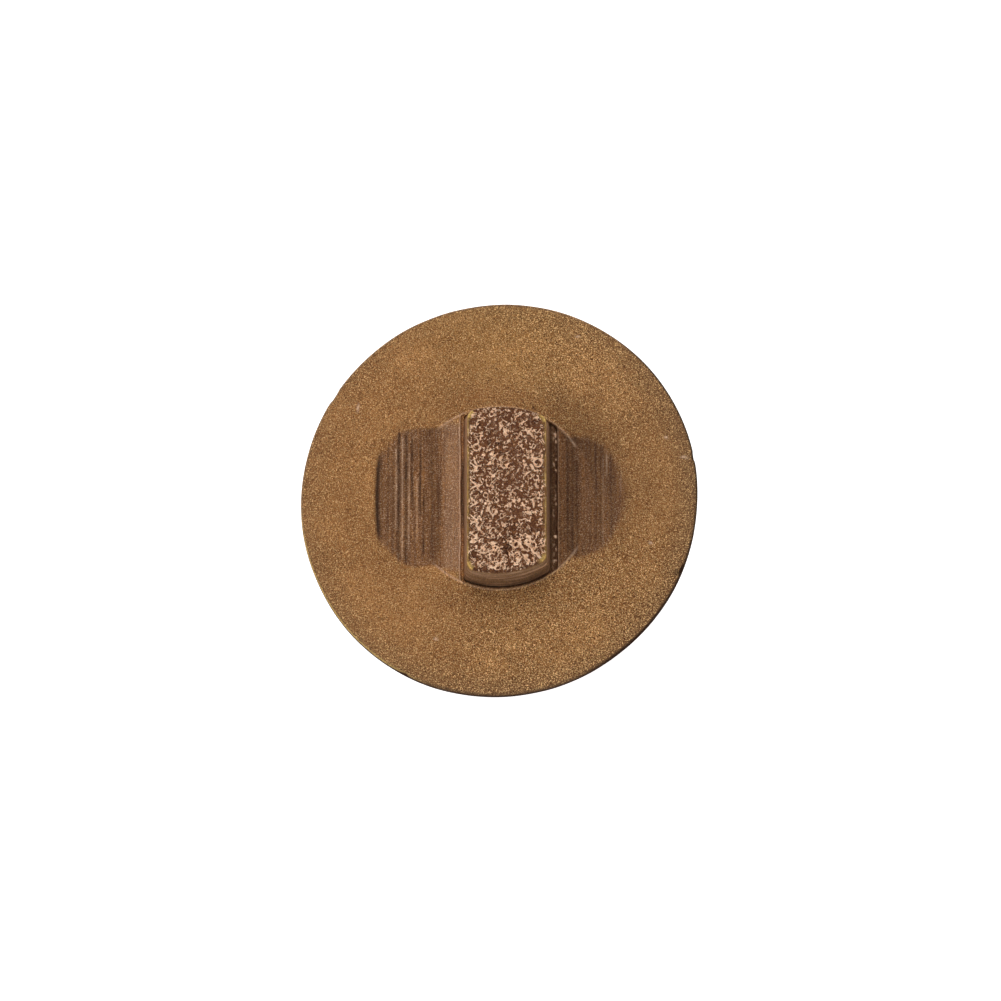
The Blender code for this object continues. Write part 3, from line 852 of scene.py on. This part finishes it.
# ---------------------------------------------------------------- materials
class Shader:
    """Small helper that adds and links the nodes of one Principled material."""

    def __init__(self, name, metallic):
        self.material = bpy.data.materials.new(name)
        self.material.use_nodes = True
        self.tree = self.material.node_tree
        self.surface = self.tree.nodes["Principled BSDF"]
        self.surface.inputs["Metallic"].default_value = metallic
        self.where = self.tree.nodes.new("ShaderNodeTexCoord").outputs["Object"]

    def link(self, source, target):
        if isinstance(source, bpy.types.NodeSocket):
            self.tree.links.new(source, target)
        else:
            target.default_value = source

    def stretched(self, scale):
        """Coordinates stretched by an (x, y, z) scale."""
        node = self.tree.nodes.new("ShaderNodeMapping")
        node.inputs["Scale"].default_value = scale
        self.link(self.where, node.inputs["Vector"])
        return node.outputs["Vector"]

    def noise(self, size_mm, detail, vector=None, distortion=0.0):
        node = self.tree.nodes.new("ShaderNodeTexNoise")
        node.inputs["Distortion"].default_value = distortion
        node.inputs["Scale"].default_value = 1.0 / (size_mm * MM)
        node.inputs["Detail"].default_value = detail
        node.inputs["Roughness"].default_value = 0.55
        self.link(vector or self.where, node.inputs["Vector"])
        return node.outputs["Fac"]

    def ramp(self, value, low, high, to_low=0.0, to_high=1.0):
        node = self.tree.nodes.new("ShaderNodeMapRange")
        node.interpolation_type = "SMOOTHSTEP"
        limits = {"From Min": low, "From Max": high, "To Min": to_low, "To Max": to_high}
        for socket, number in limits.items():
            node.inputs[socket].default_value = number
        self.link(value, node.inputs["Value"])
        return node.outputs["Result"]

    def math(self, kind, a, b=0.0):
        node = self.tree.nodes.new("ShaderNodeMath")
        node.operation = kind
        self.link(a, node.inputs[0])
        self.link(b, node.inputs[1])
        return node.outputs["Value"]

    def mix(self, share, a, b):
        """Colour between a and b."""
        node = self.tree.nodes.new("ShaderNodeMix")
        node.data_type = "RGBA"
        self.link(share, node.inputs[0])
        self.link(a if isinstance(a, bpy.types.NodeSocket) else (*a, 1.0), node.inputs[6])
        self.link(b if isinstance(b, bpy.types.NodeSocket) else (*b, 1.0), node.inputs[7])
        return node.outputs[2]

    def blend(self, share, a, b):
        """Number between a and b."""
        node = self.tree.nodes.new("ShaderNodeMix")
        self.link(share, node.inputs[0])
        self.link(a, node.inputs[2])
        self.link(b, node.inputs[3])
        return node.outputs[0]

    def mask(self, name):
        node = self.tree.nodes.new("ShaderNodeAttribute")
        node.attribute_name = name
        return node.outputs["Fac"]

    def finish(self, color, roughness, height, distance_mm, edge_tint=None):
        """Link colour, roughness, bump height and, if given, the tint at grazing angles."""
        self.link(color, self.surface.inputs["Base Color"])
        self.link(roughness, self.surface.inputs["Roughness"])
        bump = self.tree.nodes.new("ShaderNodeBump")
        bump.inputs["Distance"].default_value = distance_mm * MM
        self.link(height, bump.inputs["Height"])
        self.link(bump.outputs["Normal"], self.surface.inputs["Normal"])
        if edge_tint is not None:
            self.link(edge_tint, self.surface.inputs["Specular Tint"])
        return self.material


BRONZE_SKIN = (0.342, 0.155, 0.057)
BRONZE_DARK = (0.105, 0.048, 0.024)
BRONZE_WARM = (0.435, 0.203, 0.074)
BRONZE_DULL_AND_SHADE = (0.235, 0.126, 0.062)
BRONZE_CUT = (0.205, 0.096, 0.048)
BRONZE_BARE_AND_HIGHLIGHT = (0.880, 0.590, 0.180)
BRONZE_SPECK = (0.950, 0.600, 0.270)
BRONZE_PEACH_HIGHLIGHT = (1.000, 0.710, 0.500)
BRONZE_SCALE = (0.122, 0.047, 0.029)
BRONZE_TAN = (0.700, 0.375, 0.185)
BRONZE_GRIME_AND_SHADE = (0.048, 0.028, 0.020)
BRONZE_TURNED = (0.560, 0.330, 0.140)
BRONZE_TARNISHED = (0.360, 0.190, 0.085)
CLEAN_TINT = (1.0, 1.0, 1.0)
GRIME_AND_SHADE_TINT = (0.10, 0.08, 0.07)  # dirty metal, and metal under painted shade, shines less at a grazing angle
RUBBER_BLACK = (0.016, 0.016, 0.017)
RUBBER_DUSTY = (0.045, 0.044, 0.042)
NYLON_WHITE = (0.780, 0.760, 0.680)
NYLON_AGED = (0.660, 0.630, 0.530)


def fine_highlight_strokes(s, scale_mask):
    """Short strokes of painted highlight between the crests of the tang's rough top."""
    net = s.noise(0.80, 1.0)
    line = s.math("ABSOLUTE", s.math("SUBTRACT", net, 0.5))
    other = s.noise(0.62, 1.0, s.stretched((1.0, 0.8, -1.0)))
    second = s.math("ABSOLUTE", s.math("SUBTRACT", other, 0.5))
    lines = s.math("MAXIMUM", s.ramp(line, 0.052, 0.028), s.ramp(second, 0.048, 0.026))
    broken = s.ramp(s.noise(0.50, 1.0, s.stretched((1.2, 1.0, 1.0))), 0.51, 0.57)
    patch = s.ramp(s.noise(1.9, 1.0), 0.42, 0.55, 0.15, 1.0)
    return s.math("MULTIPLY", s.math("MULTIPLY", lines, broken), s.math("MULTIPLY", patch, scale_mask))


def cast_bronze():
    """Brown sand-cast skin with golden specks, streaked cuts, dirt and painted shade in the lows, bare
    edges and painted highlights.
    """
    s = Shader("cast_bronze", 1.0)
    blotch = s.noise(7.0, 2.0)
    grit = s.noise(0.19, 1.5, distortion=0.3)
    speck = s.noise(0.17, 1.0, s.stretched((1.0, 1.0, 1.3)), distortion=0.4)
    strength = s.ramp(s.mask("rough"), 0.0, 1.0, 0.95, 1.65)
    color = s.mix(s.ramp(blotch, 0.35, 0.68), BRONZE_SKIN, BRONZE_WARM)
    # duller colour towards the rim, on the rim and on the tang's walls, and painted shade on the head's
    # right side
    color = s.mix(s.mask("dull_and_shade"), color, BRONZE_DULL_AND_SHADE)
    color = s.mix(s.math("MULTIPLY", s.ramp(grit, 0.50, 0.36, 0.0, 0.8), strength), color, BRONZE_DARK)
    color = s.mix(s.math("MULTIPLY", s.ramp(speck, 0.52, 0.68, 0.0, 0.75), strength), color, BRONZE_SPECK)

    streak = s.noise(0.35, 3.0, s.stretched((1.0, 0.035, 0.3)))
    milled = s.mask("milled")
    cut = s.mix(s.ramp(streak, 0.35, 0.70), BRONZE_CUT, BRONZE_SKIN)
    cut = s.mix(s.ramp(grit, 0.50, 0.36, 0.0, 0.9), cut, BRONZE_DARK)
    cut = s.mix(s.ramp(speck, 0.53, 0.70, 0.0, 0.42), cut, BRONZE_PEACH_HIGHLIGHT)
    color = s.mix(s.math("MULTIPLY", milled, 0.85), color, cut)

    scale_mask = s.mask("scale")
    crest_highlight_mask = s.mask("crest")
    scale = s.mix(s.ramp(speck, 0.42, 0.66, 0.0, 0.75), BRONZE_SCALE, BRONZE_SKIN)
    color = s.mix(scale_mask, color, scale)
    # painted shade just beside the highlight crests of the tang's top
    crest_edge_shade = s.math("MULTIPLY", s.ramp(crest_highlight_mask, 0.05, 0.3), scale_mask)
    color = s.mix(s.math("MULTIPLY", crest_edge_shade, 0.55), color, BRONZE_GRIME_AND_SHADE)

    # dirt, and painted shade in the grooves, the tang's shadow, the foot crease, the slopes and the rim
    grime_and_shade = s.mask("grime_and_shade")
    color = s.mix(grime_and_shade, color, BRONZE_GRIME_AND_SHADE)
    # painted highlights on crests, crater lips, ridges and edges, peach fading to tan
    ragged = s.math("ADD", crest_highlight_mask, s.math("SUBTRACT", speck, 0.5))
    crest = s.blend(scale_mask, crest_highlight_mask, s.ramp(ragged, 0.48, 0.62))
    crest = s.math("MAXIMUM", crest, fine_highlight_strokes(s, scale_mask))
    tan = s.math("MULTIPLY", s.ramp(s.noise(0.45, 2.0), 0.53, 0.41, 0.0, 0.62), scale_mask)
    color = s.mix(crest, color, s.mix(tan, BRONZE_PEACH_HIGHLIGHT, BRONZE_TAN))
    # bare metal at worn edges, and painted highlights: the head's lighter top and the rim's lower left
    bare_and_highlight = s.math("MULTIPLY", s.mask("bare_and_highlight"), s.ramp(grit, 0.25, 0.55, 0.35, 1.0))
    color = s.mix(bare_and_highlight, color, BRONZE_BARE_AND_HIGHLIGHT)

    rough = s.ramp(grit, 0.3, 0.7, 0.58, 0.44)
    rough = s.blend(milled, rough, s.ramp(streak, 0.3, 0.7, 0.56, 0.46))
    rough = s.blend(grime_and_shade, rough, 0.62)
    rough = s.blend(crest, rough, s.blend(scale_mask, 0.36, 0.52))
    rough = s.blend(bare_and_highlight, rough, 0.30)

    lines = s.math("MULTIPLY", streak, 0.7)
    height = s.blend(milled, grit, s.math("ADD", s.math("MULTIPLY", grit, 0.9), lines))
    edge_tint = s.mix(grime_and_shade, CLEAN_TINT, GRIME_AND_SHADE_TINT)
    return s.finish(color, rough, height, 0.25, edge_tint)


def turned_bronze():
    """Machined bronze, lightly tarnished, with fine turning marks."""
    s = Shader("turned_bronze", 1.0)
    tarnish_and_shade = s.noise(9.0, 3.0)
    fine = s.noise(0.6, 2.0)
    rings = s.noise(0.22, 2.0, s.stretched((0.05, 0.05, 1.0)))
    color = s.mix(s.ramp(tarnish_and_shade, 0.35, 0.70), BRONZE_TURNED, BRONZE_TARNISHED)
    color = s.mix(s.ramp(fine, 0.62, 0.80), color, BRONZE_DARK)
    rough = s.ramp(tarnish_and_shade, 0.3, 0.75, 0.26, 0.44)
    return s.finish(color, rough, s.math("ADD", rings, s.math("MULTIPLY", fine, 0.4)), 0.03)


def black_rubber():
    s = Shader("black_rubber", 0.0)
    dust = s.noise(3.0, 3.0)
    fine = s.noise(0.5, 2.0)
    color = s.mix(s.ramp(dust, 0.4, 0.75), RUBBER_BLACK, RUBBER_DUSTY)
    return s.finish(color, s.ramp(fine, 0.3, 0.7, 0.62, 0.82), fine, 0.03)


def white_nylon():
    s = Shader("white_nylon", 0.0)
    s.surface.inputs["Subsurface Weight"].default_value = 0.15
    s.surface.inputs["Subsurface Radius"].default_value = (0.002, 0.0018, 0.0014)
    wash = s.noise(6.0, 3.0)
    fine = s.noise(0.8, 2.0)
    color = s.mix(s.ramp(wash, 0.35, 0.7), NYLON_WHITE, NYLON_AGED)
    return s.finish(color, s.ramp(fine, 0.3, 0.7, 0.38, 0.5), fine, 0.02)


# ---------------------------------------------------------------- the object
RING_ROOM = 0.35  # between a ring's bore and the thread inside it


def build_object():
    bronze = cast_bronze()
    machined = turned_bronze()
    rubber = black_rubber()
    nylon = white_nylon()
    build_head(bronze)
    build_tang(bronze)
    build_shank(bronze)
    build_body(machined)
    build_nut(machined)
    plug_bore = SHANK_RADIUS + RING_ROOM
    stem_bore = STEM_RADIUS + RING_ROOM
    build_ring("plug_seal_ring", "plug_gasket", "plug_seal", plug_bore, 0.30, 0.25, rubber)
    build_ring("outer_seal_ring", "hull_gasket", "fixed_body", stem_bore, 0.30, 0.25, rubber)
    build_ring("inner_seal_ring", "inner_gasket", "washer_stack", stem_bore, 0.30, 0.25, rubber)
    build_ring("spreader_ring", "backing_washer", "washer_stack", stem_bore, 0.50, 0.0, bronze)
    build_ring("slip_ring", "slip_washer", "washer_stack", stem_bore, 0.25, 0.0, nylon)


# ---------------------------------------------------------------- studio
# name, place in metres, diameter in metres and watts of each light
LIGHTS = (("key", (-0.42, -0.12, 0.62), 0.40, 1.45), ("top", (-0.06, 0.44, 0.77), 0.50, 3.5))
WORLD_STRENGTH = 0.36
FLOOR_GLOW = 0.75


def add_light(name, place_m, target, size, power):
    data = bpy.data.lights.new(name, "AREA")
    data.shape = "DISK"
    data.size = size
    data.energy = power
    light = bpy.data.objects.new(name, data)
    light.location = place_m
    light.rotation_euler = (Vector(target) - Vector(place_m)).to_track_quat("-Z", "Y").to_euler()
    bpy.context.scene.collection.objects.link(light)


def build_floor():
    bpy.ops.mesh.primitive_plane_add(size=6.0, location=(0.0, 0.0, -0.0002))
    floor = bpy.context.object
    floor.name = "studio_floor"
    material = bpy.data.materials.new("pale_floor")
    material.use_nodes = True
    shader = material.node_tree.nodes["Principled BSDF"]
    shader.inputs["Base Color"].default_value = (0.9, 0.9, 0.9, 1.0)
    shader.inputs["Roughness"].default_value = 0.9
    shader.inputs["Emission Color"].default_value = (1.0, 1.0, 1.0, 1.0)
    shader.inputs["Emission Strength"].default_value = FLOOR_GLOW
    floor.data.materials.append(material)


def build_studio():
    world = bpy.data.worlds.new("studio")
    world.use_nodes = True
    background = world.node_tree.nodes["Background"]
    background.inputs["Color"].default_value = (1.0, 1.0, 1.0, 1.0)
    background.inputs["Strength"].default_value = WORLD_STRENGTH
    bpy.context.scene.world = world
    bpy.context.scene.view_settings.view_transform = "Standard"
    build_floor()
    middle = (0.0, 0.0, LEVEL * MM)
    for name, place_m, size, power in LIGHTS:
        add_light(name, place_m, middle, size, power)


TILT = math.radians(10.5)  # the camera looks down from just in front of the head
SIDE = math.radians(1.2)  # and from slightly to the right
DISTANCE = 0.60  # metres
FOCAL_LENGTH = 136.7  # millimetres, on a 36 mm sensor
AIM = Vector((0.0002, -0.0004, (LEVEL - 1.4) * MM))


def build_camera():
    """Camera above the head, turned so that the tang runs up the picture."""
    data = bpy.data.cameras.new("camera")
    data.sensor_width = 36.0
    data.lens = FOCAL_LENGTH
    camera = bpy.data.objects.new("camera", data)
    toward = Vector((math.sin(SIDE), -math.sin(TILT), math.cos(TILT))).normalized()
    right = Vector((0.0, 1.0, 0.0)).cross(toward).normalized()
    upward = toward.cross(right)
    turn = Matrix((right, upward, toward)).transposed().to_4x4()
    camera.matrix_world = Matrix.Translation(AIM + toward * DISTANCE) @ turn
    bpy.context.scene.collection.objects.link(camera)
    bpy.context.scene.camera = camera


build_object()
build_studio()
build_camera()
